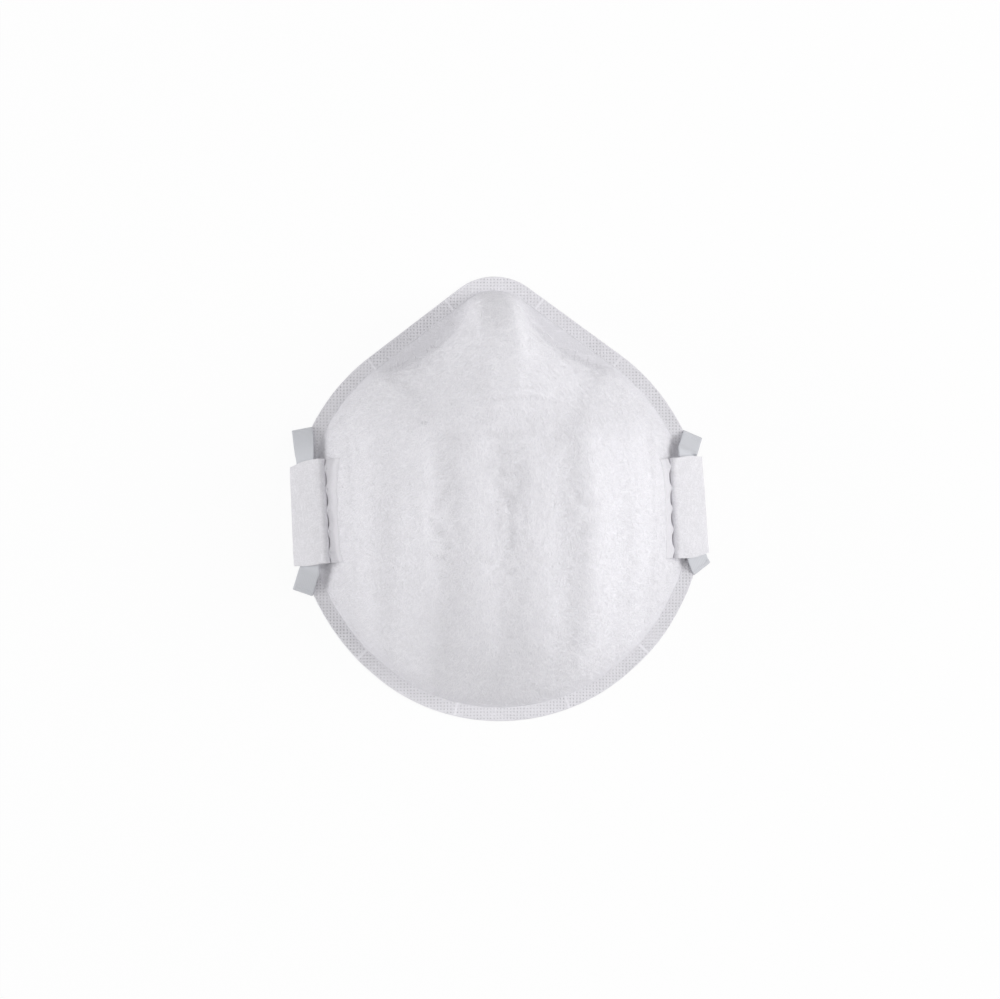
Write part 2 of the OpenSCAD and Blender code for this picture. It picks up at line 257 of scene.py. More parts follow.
def fibreGroup():
    # thin hairs that cross each other, as height and as shade
    numbers = ("Hair Width", "Hair Length", "Lump Size")
    group, given, leave = newGroup("fibreGrain", numbers, ("Height", "Shade"))
    narrow = calc("DIVIDE", 0.35, given["Hair Width"])
    long = calc("DIVIDE", 0.6, given["Hair Length"])
    layers = []
    for turn, lean in ((8, 15), (64, -20), (-52, 30), (97, 10)):
        angles = [math.radians(a) for a in (lean, -lean, turn)]
        turned = put(group, "ShaderNodeMapping", {"Vector": given["Vector"], "Rotation": angles}).outputs[0]
        scale = put(group, "ShaderNodeCombineXYZ", {"X": narrow, "Y": long, "Z": narrow}).outputs[0]
        stretched = vectorCalc("MULTIPLY", turned, scale)
        hair = noise(stretched, 1.0, Detail=1.5, Roughness=0.6, Distortion=1.2)
        layers.append(smoothStep(hair, 0.5, 0.72))
    pairs = [calc("MAXIMUM", *layers[k : k + 2]) for k in (0, 2)]
    hairs = calc("MAXIMUM", *pairs)
    finer = calc("DIVIDE", 1.0, given["Lump Size"])
    lump = noise(given["Vector"], finer, Detail=3.0, Roughness=0.55)
    height = calc("MULTIPLY_ADD", hairs, 0.45, calc("MULTIPLY", lump, 0.55))
    setInputs(group, leave, {"Height": height, "Shade": hairs})
    return group


def dotGroup():
    # a square grid of round pressed dots, 1 in a dot and 0 between
    group, given, leave = newGroup("pressedDots", ("Pitch X", "Pitch Y", "Turn", "Fullness"), ("Dot",))
    turning = {"Vector": given["Vector"], "Angle": given["Turn"]}
    turned = put(group, "ShaderNodeVectorRotate", turning, rotation_type="Z_AXIS").outputs[0]
    apart = put(group, "ShaderNodeSeparateXYZ", {"Vector": turned}).outputs
    cosines = []
    for axis in "XY":
        far = calc("MULTIPLY", apart[axis], 2 * math.pi)
        cosines.append(calc("COSINE", calc("DIVIDE", far, given["Pitch " + axis])))
    both = calc("MULTIPLY", calc("ADD", *cosines), 0.5)
    low = calc("SUBTRACT", 0.9, given["Fullness"])
    setInputs(group, leave, {"Dot": smoothStep(both, low, calc("ADD", low, 0.4))})
    return group


fibreGrain = fibreGroup()
pressedDots = dotGroup()


def newMaterial(name, source="Object"):
    # the material, its nodes and the surface's own coordinates
    material = bpy.data.materials.new(name)
    material.use_nodes = True
    tree = material.node_tree
    return material, tree, put(tree, "ShaderNodeTexCoord").outputs[source]


def dress(tree, share, dark, light, height, bump, **inputs):
    # a colour between two tones and a bump, given as strength and depth
    colours = {0: share, 6: (*dark, 1), 7: (*light, 1)}
    colour = put(tree, "ShaderNodeMix", colours, data_type="RGBA", clamp_factor=False).outputs[2]
    relief = {"Strength": bump[0], "Distance": bump[1] * mm, "Height": height}
    normal = put(tree, "ShaderNodeBump", relief).outputs[0]
    setInputs(tree, tree.nodes["Principled BSDF"], {"Base Color": colour, "Normal": normal, **inputs})


feltLook = {
    "color": (0.82, 0.81, 0.85),
    "hairWidth": 0.16,
    "hairLength": 3.0,
    "lumpSize": 2.2,
    "toneSize": 14,
    "toneShare": 0.05,
    "hairShare": 0.08,
    "bump": 0.6,
    "bumpDepth": 0.25,
    "roughness": 0.9,
    "dots": None,  # pitch both ways, turn, fullness
    "dotMask": None,
    "painted": {},
    "marks": (),  # x, y, half width and height, change of tone
}


def cloth(name, **changes):
    # one finish for every nonwoven: fibres, lumps, pressed dots and a faint change of tone
    look = {**feltLook, **changes}
    material, tree, place = newMaterial(name)
    inMm = vectorCalc("MULTIPLY", place, [1 / mm] * 3)
    sizes = (inMm, look["hairWidth"], look["hairLength"], look["lumpSize"])
    grain = put(tree, "ShaderNodeGroup", enumerate(sizes), node_tree=fibreGrain).outputs
    tone = noise(inMm, 1 / look["toneSize"], Detail=3.0)
    hairs = calc("MULTIPLY", grain["Shade"], look["hairShare"])
    shade = calc("MULTIPLY_ADD", tone, look["toneShare"], hairs)
    height = grain["Height"]
    if look["dots"]:
        grid = (inMm, *look["dots"])
        dot = put(tree, "ShaderNodeGroup", enumerate(grid), node_tree=pressedDots).outputs["Dot"]
        if look["dotMask"]:
            dot = calc("MULTIPLY", dot, attribute(tree, look["dotMask"]))
        shade = calc("SUBTRACT", shade, calc("MULTIPLY", dot, look["dotShare"]))
        height = calc("SUBTRACT", height, calc("MULTIPLY", dot, look["dotDepth"]))
    # tone from painted attributes: the rim's seams, and painted shade and light on the felt
    for label, share in look["painted"].items():
        shade = calc("ADD", shade, calc("MULTIPLY", attribute(tree, label), share))
    for x, y, wide, high, share in look["marks"]:
        away = vectorCalc("SUBTRACT", inMm, (x, y, 0))
        away = vectorCalc("MULTIPLY", away, (1 / wide, 1 / high, 0))
        spot = smoothStep(vectorCalc("LENGTH", away, output="Value"), 1.3, 0.5)
        shade = calc("ADD", shade, calc("MULTIPLY", spot, share))
    middle = 0.5 - 0.5 * look["toneShare"] - 0.35 * look["hairShare"]
    dark, light = ([c * level for c in look["color"]] for level in (0.5, 1.5))
    surface = {"Roughness": look["roughness"], "Specular IOR Level": 0.3}
    sheen = {"Sheen Weight": 0.1, "Sheen Roughness": 0.5}
    bump = (look["bump"], look["bumpDepth"])
    dress(tree, calc("ADD", shade, middle), dark, light, height, bump, **surface, **sheen)
    return material


# painted shade in the rib valleys and painted light on the outer panels of the felt
ribShading = {
    "tone": -0.045,  # painted shade in the valleys between two ribs, and painted light on the outer panels where the share is below 0
    "window": (-60, 24, 12, 10),  # lower and upper end, and the fades there
    "litPanelWindow": (20, 46, 6, 5),  # the outer panels, where light is painted on
    "litPanelShare": 0.75,
    "rightFrom": 12,  # from here on to the right the painted shade in the valleys is weaker and the painted light on the panel stronger
    "rightFade": 6,
    "rightLessShade": 0.6,
    "rightMoreLight": 0.35,
}
feltMat = cloth(
    "needleFelt",
    # painted shade on the nose wings towards their crease, painted shade in the rib valleys and painted light
    # on the outer panels
    painted={"pressed": -0.11, "ribShading": ribShading["tone"]},
    marks=[(-23.4, 22.7, 1.3, 0.7, -0.16), (-19.3, -5.3, 0.26, 0.26, -0.5)],
)
# the loose fibres carry the same painted shade in the rib valleys and painted light on the outer panels
fibreMat = cloth(
    "looseFibre", color=(0.92, 0.91, 0.945), bump=0.0, hairShare=0.0, painted={"ribShading": ribShading["tone"]}
)
tabMat = cloth("tabFelt", color=(0.79, 0.78, 0.815), lumpSize=1.6, hairShare=0.13, toneShare=0.09, toneSize=5)
flangeMat = cloth("pressedFlange", color=(0.745, 0.735, 0.77), bump=0.25, hairShare=0.05, roughness=0.7)
fusedMat = cloth("fusedFelt", color=(0.76, 0.755, 0.79), bump=0.2, roughness=0.45)
webMat = cloth("filterWeb", color=(0.82, 0.85, 0.88), bump=0.25, hairLength=1.5)
shellMat = cloth("shellWeb", color=(0.82, 0.82, 0.79), bump=0.4, roughness=0.6)
liningMat = cloth(
    "liningWeb",
    color=(0.84, 0.84, 0.85),
    bump=0.4,
    bumpDepth=0.12,
    dots=(0.9, 0.9, math.radians(45), 0.35),
    dotShare=0.04,
    dotDepth=0.6,
    roughness=0.75,
)


band = {
    "width": 6.5,
    "thick": 0.7,
    "floorGap": 0.02,
    "foldLow": 0.37,
    "foldHigh": 2.95,
    "foldClear": 1.4,
    "ridgePitch": 0.52,
    "ridgeHeight": 0.025,
    "edgeRound": 0.3,
    # where it turns back under itself: x, y, angle of the crease
    "leftTop": (-59.65, 20.9, 10),
    "leftBottom": (-60.0, -26.4, -20),
    "rightTop": (60.6, 17.8, -24),
    "rightBottom": (62.6, -21.5, 37),
}
# x, y, turn on to its edge
crownRoute = [
    (-57.8, 15.6, 0), (-54.7, 11.4, 12), (-52, 7.7, 45), (-49.3, 4.2, 75), (-46.8, 0.2, 90),
    (-43.8, -6.2, 90), (-39.6, -12.2, 90), (-33, -16, 90), (-25.6, -14, 90), (-21.6, -7.4, 90),
    (-19.6, 0.4, 90), (-15.6, 7.8, 90), (-8.6, 12.8, 90), (0, 14.6, 90), (9, 14.6, 90), (18, 13, 90),
    (26.6, 10, 90), (35, 7, 90), (43.8, 6.2, 90), (47.6, 7.4, 78), (51, 9.7, 45), (54.2, 12.5, 12),
    (57.6, 15.3, 0),
]
neckRoute = [
    (-58, -23.8, 0), (-53.8, -21.6, 18), (-50.2, -20, 55), (-46, -19.6, 90), (-38, -21.2, 90),
    (-29, -23, 90), (-19, -23.6, 90), (-9, -23.2, 90), (0.4, -21.4, 90), (8.6, -17.4, 90),
    (14.6, -11, 90), (20, -4.2, 90), (27.4, 0, 90), (36, -0.4, 90), (43, -4.6, 90), (48, -9.4, 90),
    (50.8, -12, 75), (53.4, -14.4, 45), (56, -16.8, 12), (59, -19.8, 0),
]

tab = {
    "length": {-1: 31.8, 1: 30.9},
    "middle": {-1: -2.85, 1: -3.7},
    "width": 12.6,
    "height": 2.7,
    "felt": 0.7,
    "slope": {-1: (41, 44), 1: (33, 41)},  # at its bottom and its top end
    "facetSlope": 61,
    "flangeLean": {-1: -2.6, 1: 3.0},
    "hinge": (54.367, 11.4),
    "hingeFoot": (52.924, 10.6),
    "lean": {-1: -4.5, 1: 4.5},
    "shift": {-1: 0.5, 1: -0.25},
    "endTilt": {-1: (0, 0.12), 1: (-0.05, 0.04)},
    "bandMiddle": 6.4,
    "flangeWidth": 4.9,
    "flangeEdge": 0.05,
    "flangeHeight": (0.62, 1.08),  # between the welds and at them
    "flangeFoot": -0.15,
    "scallop": 0.54,
    "crest": {-1: -1.4, 1: -1.64},
    "endBow": 0.45,
    "puff": 0.32,
    "pinch": 0.22,
    "pinchReach": 3.2,
    "edgeRound": 0.22,
    "welds": 5,
    "weldPitch": 6.4,
    "weldRow": -1.1,
    "weldHeight": 0.72,
    "weldSize": (0.5, 0.75, 0.3),
}


def aboutY(v, a):
    x, y, z = np.moveaxis(v, -1, 0)
    return stacked(x * cosD(a) + z * sinD(a), y, z * cosD(a) - x * sinD(a))


def aboutZ(v, a):
    x, y, z = np.moveaxis(v, -1, 0)
    return stacked(x * cosD(a) - y * sinD(a), x * sinD(a) + y * cosD(a), z)


def fromTab(v, side, slope, lean="lean"):
    tipped = aboutY(aboutZ(aboutY(v, slope - tab["facetSlope"]), tab[lean][side]), tab["facetSlope"])
    return tipped * np.array([side, 1, 1])


def tabSlope(y, side):
    return mix(*tab["slope"][side], np.clip(y / tab["length"][side] + 0.5, 0, 1))


def tabStart(spot, side):
    x, z = tab[spot]
    return np.array([side * x + tab["shift"][side], tab["middle"][side], z])


def inTab(v, side):
    # from the tab's own frame, where Y is the hinge and +X runs down to the fold
    v = np.asarray(v, float)
    return tabStart("hinge", side) + fromTab(v, side, tabSlope(v[..., 1], side))


def onFacet(v, side):
    return tabStart("hingeFoot", side) + fromTab(np.asarray(v, float), side, tab["facetSlope"], "flangeLean")


def smoothLine(points, steps):
    # a curve through all points, as many steps between each two
    n = len(points) - 1
    out = []
    for k in range(n):
        a, b, c, d = (points[min(max(k + q, 0), n)] for q in (-1, 0, 1, 2))
        for t in np.arange(steps) / steps:
            square, cube = 2 * a - 5 * b + 4 * c - d, 3 * b - a - 3 * c + d
            out.append(0.5 * (2 * b + (c - a) * t + square * t * t + cube * t ** 3))
    out.append(points[n])
    return np.array(out)


def directions(line):
    ahead = np.vstack([line[1:], line[-1:]])
    behind = np.vstack([line[:1], line[:-1]])
    return unit(ahead - behind)


def travelled(line):
    return np.concatenate([[0], np.cumsum(np.linalg.norm(np.diff(line, axis=0), axis=1))])


def bandSection():
    # across and up, once round the flat section, with fine lengthwise ridges on both faces
    half, thick, r = band["width"] / 2, band["thick"] / 2, band["edgeRound"]
    across = np.linspace(-half + r, half - r, 47)
    ridge = band["ridgeHeight"] * np.cos(across * 2 * math.pi / band["ridgePitch"])
    turns = np.radians(np.linspace(75, -75, 6))
    top = stacked(across, thick + ridge)
    end = stacked(half - r + r * np.cos(turns), thick * np.sin(turns))
    bottom = stacked(across[::-1], -thick - ridge[::-1])
    start = stacked(-half + r - r * np.cos(turns), -thick * np.sin(turns))
    return np.vstack([top, end, bottom, start, top[:1]])


def bandPiece(name, middles, sides):
    # sides are unit vectors across the band
    along = directions(middles)
    sides = unit(sides - (sides * along).sum(-1, keepdims=True) * along)
    normal = unit(np.cross(sides, along))
    section = bandSection()
    points = middles[:, None] + section[None, :, :1] * sides[:, None] + section[None, :, 1:] * normal[:, None]
    uv = stacked(travelled(section)[None, :], travelled(middles)[:, None])
    return gridPiece(name, points, uv * mm * 10, fill=True, sharp=50)


def creaseSide(fold, way):
    return way * np.array([cosD(fold[2]), sinD(fold[2]), 0])


def freeRun(route, start, finish, out):
    def atFold(fold):
        clear = out * band["foldClear"]
        return (fold[0] + clear * sinD(fold[2]), fold[1] - clear * cosD(fold[2]), 0)

    middles = smoothLine(np.array([atFold(start), *route, atFold(finish)], float), 9)
    turned = np.maximum(middles[:, 2], 0)
    middles[:, 2] = band["floorGap"] + band["width"] / 2 * sinD(turned) + band["thick"] / 2 * cosD(turned)
    right = unit(np.cross(directions(middles), up))
    sides = right * cosD(turned)[:, None] - out * up * sinD(turned)[:, None]
    for k, fold in ((0, start), (-1, finish)):
        sides[k] = creaseSide(fold, np.sign(creaseSide(fold, 1) @ right[k]))
    return middles, sides


def halfTurn(fold, out, way):
    low, high = band["foldLow"], band["foldHigh"]
    radius = (high - low) / 2
    turns = np.linspace(90, -90, 15)
    ahead = out * np.array([-sinD(fold[2]), cosD(fold[2]), 0])
    middle = np.array([*fold[:2], low + radius])
    middles = [middle + radius * (cosD(a) * ahead + sinD(a) * up) for a in turns]
    return middles, [creaseSide(fold, way)] * len(turns)


def tabRun(side, fold, out):
    # from the middle of the tab, out of its end, down to the crease and round it
    turned, turnedSides = halfTurn(fold, out, side)
    inside, sides = [], []
    shares = [(-0.02, 0), (0.05, 0), (0.3, 0), (0.8, 3), (1.06, 12)]
    for share, flatter in shares[: 4 if fold == band["rightBottom"] else 5]:
        y = out * share * tab["length"][side] / 2
        inside.append(inTab([tab["bandMiddle"], y, 0], side))
        sides.append(fromTab(np.array([1.0, 0, 0]), side, tabSlope(y, side) - flatter))
    before = np.array([*inside, *[mix(inside[-1], turned[0], t) for t in (0.35, 0.7)], turned[0]])
    sides += [mix(sides[-1], turnedSides[0], t) for t in (0.35, 0.7, 1)]
    middles = smoothLine(before, 8)
    across = smoothLine(np.array(sides), 8)
    return np.vstack([middles, turned[1:]]), np.vstack([across, turnedSides[1:]])


def bandMaterial():
    weaving = {"thread": 0.34, "dark": (0.615, 0.625, 0.66), "light": (0.695, 0.705, 0.74)}
    material, tree, uv = newMaterial("elasticBand", "UV")
    inMm = vectorCalc("MULTIPLY", uv, (100, 100, 100))
    apart = put(tree, "ShaderNodeSeparateXYZ", {"Vector": inMm}).outputs
    threads, cords = (
        calc("SINE", calc("MULTIPLY", apart[axis], 2 * math.pi / pitch))
        for axis, pitch in (("Y", weaving["thread"]), ("X", band["ridgePitch"]))
    )
    weave = calc("MULTIPLY", threads, cords)
    fuzz = noise(inMm, 2.4, Detail=4.0, Roughness=0.65)
    tone = noise(inMm, 0.12, Detail=2.0)
    soft = calc("MULTIPLY_ADD", fuzz, 0.25, calc("MULTIPLY", tone, 0.5))
    mixed = calc("ADD", calc("MULTIPLY", weave, 0.06), soft)
    height = calc("MULTIPLY_ADD", weave, 0.3, fuzz)
    surface = {"Roughness": 0.7, "Specular IOR Level": 0.3}
    dress(tree, mixed, weaving["dark"], weaving["light"], height, (0.25, 0.08), **surface)
    return material


bandMat = bandMaterial()
for name, node, route, end, out in (
    ("crownBand", "crown_strap", crownRoute, "Top", 1),
    ("neckBand", "neck_strap", neckRoute, "Bottom", -1),
):
    middles, sides = freeRun(route, band["left" + end], band["right" + end], out)
    piece = bandPiece(name, middles, sides)
    if out == 1:
        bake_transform(piece)
    finishPiece(piece, None if out == 1 else node, "elastic_band", bandMat, node)

for side, word in ((-1, "left"), (1, "right")):
    for out, end in ((1, "Top"), (-1, "Bottom")):
        middles, sides = tabRun(side, band[word + end], out)
        piece = bandPiece(word + "Run" + end, middles, sides)
        print(piece.name, "is", round(travelled(middles)[-1], 1), "mm long")
        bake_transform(piece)
        finishPiece(piece, None, "elastic_band", bandMat, word + "_strap_run")
print("band made")


cup = {
    "noseR": 18,
    "noseY": 50.8,
    "cheekR": 61.8,
    "cheekX": 2,
    "cheekDrop": 5.3,
    "chinDrop": 7,
    "rimW": 4.2,
    "rimT": 1,
    "sideLift": 1.3,
    "liftTop": 18,
    "liftBottom": -26,
    "liftFade": 12,
    "height": 46,
    "sidePower": 2.8,
    "ridgeFall": 0.42,
    "ridgeBow": 1.6,
    "nosePower": 12,
    "footStep": 0.6,
    "wingW": 5.6,
    "wingRise": 1.4,
    "wingBow": 0.6,
    "wingBlur": 2.5,
    "ridgeBlur": 4.5,
    "ribPitch": 18,
    "ribH": 2.0,
    "ribTop": 24,
    "ribBottom": -52,
    "ribEdge": 44,
    "ribFade": 6,
    "facetX": 58.8,
    "facetSlope": 61,
    "creaseRound": 0.8,
    "middle": (0, -5),
    "layers": (1.4, 0.4, 0.4, 0.7, 0.3),
    "pressed": (0.34, 0.1, 0.1, 0.28, 0.18),
}
# how far the real cup stands to the right of an even one: y and shift, at its left and right sides
sway = {
    "left": ((-68, 0.95), (-53, 1.6), (-44, 2.1), (-35, 2.2), (-20, 1.8), (-4, 1.3), (12, 0.8), (22, 0)),
    "right": ((-68, 0.95), (-53, 0.6), (-44, 0.35), (-35, 0), (22, 0)),
}


def softTable(pairs, y):
    steps = np.linspace(-80, 80, 321)
    blur = np.hanning(27)
    values = np.interp(steps, *zip(*pairs))
    values = np.convolve(np.pad(values, 13, mode="edge"), blur / blur.sum(), "valid")
    return np.interp(y, steps, values)


def swayed(points):
    x, y = points[..., 0], points[..., 1]
    out = points.copy()
    out[..., 0] = x + mix(softTable(sway["left"], y), softTable(sway["right"], y), ease((x + 45) / 90))
    return out


def roundBlur(values, width, step):
    # blurs a closed row of values that is evenly stepped
    reach = int(3 * width / step)
    weights = bell(np.arange(-reach, reach + 1) * step / width)
    ring = values[:-1]
    out = sum(w * np.roll(ring, k - reach) for k, w in enumerate(weights)) / weights.sum()
    return np.append(out, out[0])


def outlineTable(step):
    # middle x, middle y, radius, angle, share of the wing, share of the ridge, once round from the nose
    nose, noseR = np.array([0, cup["noseY"]]), cup["noseR"]
    cheek, cheekR = np.array([cup["cheekX"], -cup["cheekDrop"]]), cup["cheekR"]
    chin = np.array([0, -cup["chinDrop"]])
    gap, down = cheek - nose, chin - cheek
    far = np.linalg.norm(gap)
    sideAngle = math.degrees(math.atan2(gap[1], gap[0]) + math.acos((noseR - cheekR) / far))
    chinAngle = math.degrees(math.atan2(down[1], down[0])) + 90

    def counted(length):
        return max(2, round(length / step))

    def arc(centre, radius, start, end, first, ridge):
        n = counted(radius * math.radians(start - end))
        return [(*centre, radius, mix(start, end, k / n), 0, ridge) for k in range(first, n + first)]

    rows = arc(nose, noseR, 90, sideAngle, 0, 1)
    n = counted(far)
    for t in np.arange(n + 1) / n:
        wing = math.sin(math.pi * t) ** cup["wingBow"] if 0 < t < 1 else 0
        rows.append((*mix(nose, cheek, t), mix(noseR, cheekR, t), sideAngle, wing, 1 - t * t))
    rows += arc(cheek, cheekR, sideAngle, chinAngle, 1, 0) + arc(chin, cheekR, chinAngle, -90, 1, 0)
    half = np.array(rows)
    back = half[-2:0:-1].copy()
    back[:, 0] *= -1
    back[:, 3] = 180 - back[:, 3]
    table = np.vstack([half, back, half[:1]])
    table[:, 4] = roundBlur(table[:, 4], cup["wingBlur"], step)
    table[:, 5] = roundBlur(table[:, 5], cup["ridgeBlur"], step)
    return table


def edgeAt(table, inset):
    reach = table[:, 2] - inset
    return table[:, 0] + reach * cosD(table[:, 3]), table[:, 1] + reach * sinD(table[:, 3])


def sideLift(y):
    fade = cup["liftFade"]
    return cup["sideLift"] * between(y, cup["liftBottom"] - fade, cup["liftTop"] + fade, fade, fade)


def ribs(x, y, share):
    fade = cup["ribFade"]
    window = between(y, cup["ribBottom"], cup["ribTop"], fade, fade)
    window = window * ease((cup["ribEdge"] - abs(x)) / fade) * ease((0.85 - share) / 0.1)
    window = window * (1 - ease((abs(x) - 25) / 5) * ease((y + 10) / 16))
    return -cup["ribH"] / 2 * cosD(360 * x / cup["ribPitch"]) * window


def softMin(a, b, r):
    h = np.clip(0.5 + 0.5 * (b - a) / r, 0, 1)
    return mix(b, a, h) - r * h * (1 - h)


def cupRow(table, share):
    wing, ridge = table[:, 4], table[:, 5]
    foot = stacked(*edgeAt(table, cup["rimW"] + cup["footStep"] + cup["wingW"] * wing))
    centre = np.array(cup["middle"])
    x, y = (centre + share * (foot - centre)).T
    footZ = cup["rimT"] + cup["footStep"] + cup["wingRise"] * wing
    side = 1 - share ** cup["sidePower"]
    nose = (1 - cup["ridgeFall"] * share ** cup["ridgeBow"]) * (1 - share ** cup["nosePower"])
    z = mix(footZ, cup["height"], mix(side, nose, ridge)) + ribs(x, y, share)
    z = z + sideLift(y) * ease((share - 0.88) / 0.1)
    limit = cup["facetX"] - z / math.tan(math.radians(cup["facetSlope"]))
    cut = np.sign(x) * softMin(abs(x), np.maximum(limit, 0), cup["creaseRound"])
    return stacked(mix(cut, x, ease((share - 0.97) / 0.02)), y, z)


def filletRow(table, t):
    # from the rim's inner edge (0) to the foot of the cup (1)
    wing = table[:, 4]
    x, y = edgeAt(table, cup["rimW"] + t * (cup["footStep"] + cup["wingW"] * wing))
    rise = (cup["footStep"] + cup["wingRise"] * wing) * mix(t, ease(t), 0.6)
    return stacked(x, y, cup["rimT"] + rise + sideLift(y))


def rimRow(table, inset):
    x, y = edgeAt(table, inset)
    return stacked(x, y, cup["rimT"] + sideLift(y))


def rowShares(cupRows):
    return 1 - (1 - np.linspace(0, 1, cupRows)) ** 1.55


def frontRows(table, cupRows, filletRows, rimRows):
    # rows of the front surface from the middle out to the rim, with each row's share of full depth
    rows = [cupRow(table, s) for s in rowShares(cupRows)]
    full = [1.0] * (cupRows - 1) + [0.35]
    for t in np.linspace(1, 0, filletRows + 1)[1:]:
        rows.append(filletRow(table, t))
        full.append(0.35 * t)
    for inset in np.linspace(cup["rimW"], 0, rimRows + 1)[1:]:
        rows.append(rimRow(table, inset))
        full.append(0.0)
    return np.array(rows), np.array(full)


def wrapped(rows):
    return np.concatenate([rows[:, -2:-1], rows, rows[:, 1:2]], axis=1)


def surfaceNormals(rows):
    around = wrapped(rows)
    around = (around[:, 2:] - around[:, :-2]) / 2
    normal = unit(np.cross(around, np.gradient(rows, axis=0)))
    normal[0] = up
    return np.where(normal[..., 2:] < 0, -normal, normal)


def smoothedNormals(normal, passes):
    for _ in range(passes):
        padded = wrapped(normal)
        normal = normal + padded[:, 2:] + padded[:, :-2]
        inner = normal[1:-1] + 0.5 * (normal[2:] + normal[:-2])
        normal = unit(np.concatenate([normal[:1], inner, normal[-1:]]))
        normal[0] = up
    return normal


def depthOf(face, full):
    thin = cup["rimT"] * sum(cup["pressed"][:face])
    deep = sum(cup["layers"][:face])
    return mix(thin, deep, full)


def layerPiece(name, rows, normal, full, face):
    # a closed layer between one face of the stack and the next
    def at(face):
        depth = depthOf(face, full)[:, None]
        out = rows - depth[..., None] * normal
        lid = formHeight(out[..., 0], out[..., 1]) - depth
        out[..., 2] = np.where(full[:, None] > 0.9, np.minimum(out[..., 2], lid), out[..., 2])
        return out

    return gridPiece(name, swayed(np.concatenate([at(face), at(face + 1)[::-1]])), sharp=60)


dome = {
    "step": 0.8,
    "rows": 112,
    "cell": 0.5,
    "soft": 1.1,
    "noseSoft": 1.2,
    "creaseDip": 0.22,
    "lumps": [(0.05, 11, 3), (0.014, 3.4, 5)],  # height, size, seed
    "streaks": (0.045, 3.2, 6),
    # x, y, radius across and along, depth
    "hollows": [(-32, 33, 8, 5, 0.9), (31.5, 31.5, 8, 5, 1.9), (-18, 40, 4, 7, 0.3), (0, 22, 12, 4, 0.25)],
    "foldY": 29.5,
    "foldDepth": 0.13,
    "sideGrooves": (-46.4, 45.6),
    "grooveDepth": 0.42,
    "grooveRun": (-30, 22, 8, 6),
}


def gaussBlur(grid, width):
    reach = max(1, int(3 * width))
    weights = bell(np.arange(-reach, reach + 1) / width)
    weights /= weights.sum()
    for axis in (0, 1):
        pad = [(reach, reach) if a == axis else (0, 0) for a in (0, 1)]
        wide = np.pad(grid, pad, mode="edge")
        size = grid.shape[axis]
        grid = sum(w * np.take(wide, range(k, k + size), axis) for k, w in enumerate(weights))
    return grid


def softenedHeight(rows):
    # the height of the surface after its edges and corners are rounded off
    cell = dome["cell"]
    xs = np.arange(-70, 70 + cell, cell)
    ys = np.arange(-74, 74 + cell, cell)
    columns = rows.shape[1]
    corner = np.arange(rows.shape[0] - 1)[:, None] * columns + np.arange(columns - 1)[None]
    quads = np.stack([corner, corner + 1, corner + columns + 1, corner + columns], -1).reshape(-1, 4)
    tree = BVHTree.FromPolygons(rows.reshape(-1, 3).tolist(), quads.tolist())
    height = np.full((len(ys), len(xs)), cup["rimT"])
    down = Vector((0, 0, -1))
    for i, y in enumerate(ys):
        for j, x in enumerate(xs):
            hit = tree.ray_cast(Vector((x, y, 90)), down)[0]
            if hit:
                height[i, j] = hit.z
    nose = ease((ys[:, None] - 16) / 14)
    soft = mix(gaussBlur(height, dome["soft"] / cell), gaussBlur(height, dome["noseSoft"] / cell), nose)

    def cubic(t):
        return (
            (-t + 2 * t * t - t ** 3) / 2,
            (2 - 5 * t * t + 3 * t ** 3) / 2,
            (t + 4 * t * t - 3 * t ** 3) / 2,
            (t ** 3 - t * t) / 2,
        )

    def at(x, y):
        u, v = (x - xs[0]) / cell, (y - ys[0]) / cell
        i, j = v.astype(int), u.astype(int)
        total = 0
        for di, wv in enumerate(cubic(v - i)):
            for dj, wu in enumerate(cubic(u - j)):
                total = total + wv * wu * soft[i + di - 1, j + dj - 1]
        return total

    return at


def fromCrease(table, cupRows, filletRows):
    # how far each row lies outside the crease between the cup and its wings
    ts = np.linspace(1, 0, filletRows + 1)[1:]
    inside = np.repeat((rowShares(cupRows) - 1)[:, None] * 50, len(table), 1)
    outside = (1 - ts)[:, None] * (cup["footStep"] + cup["wingW"] * table[None, :, 4])
    return np.concatenate([inside, outside])


def frontSurface(table, cupRows, filletRows):
    # the felt's face with its hollows, folds and lumps
    rows, full = frontRows(table, cupRows, filletRows, 0)
    x, y, z = np.moveaxis(rows, -1, 0)
    change = (formHeight(x, y) - z) * ease(full / 0.3)[:, None]
    free = ease((z - 3) / 6)
    pressed = np.exp(-(((fromCrease(table, cupRows, filletRows) - 0.4) / 1.5) ** 2))
    change = change - dome["creaseDip"] * table[None, :, 4] * pressed
    past = y - (dome["foldY"] - 0.004 * x * x + 0.6 * np.sin(x / 5))
    crease = bell(past / 0.8) - 0.6 * bell((past - 1.5) / 0.9)
    change = change - dome["foldDepth"] * crease * ease((22 - abs(x)) / 8)
    for line in dome["sideGrooves"]:
        change = change - dome["grooveDepth"] * bell((x - line) / 0.85) * between(y, *dome["grooveRun"])
    rows[..., 2] += change
    normal = surfaceNormals(rows)
    bump = lumps(rows, *dome["lumps"]) + lumps(rows * [1, 0.2, 0.2], dome["streaks"])
    rows = rows + (bump * free)[..., None] * normal
    rows[0] = rows[0].mean(0)
    return rows, normal, full


softHeight = softenedHeight(frontRows(outlineTable(1.2), 60, 4, 2)[0])


def formHeight(x, y):
    # the softened height with the hollows pressed into all layers
    z = softHeight(x, y)
    free = ease((z - 3) / 6)
    for cx, cy, rx, ry, depth in dome["hollows"]:
        z = z - depth * np.exp(-0.5 * (((x - cx) / rx) ** 2 + ((y - cy) / ry) ** 2)) * free
    return z


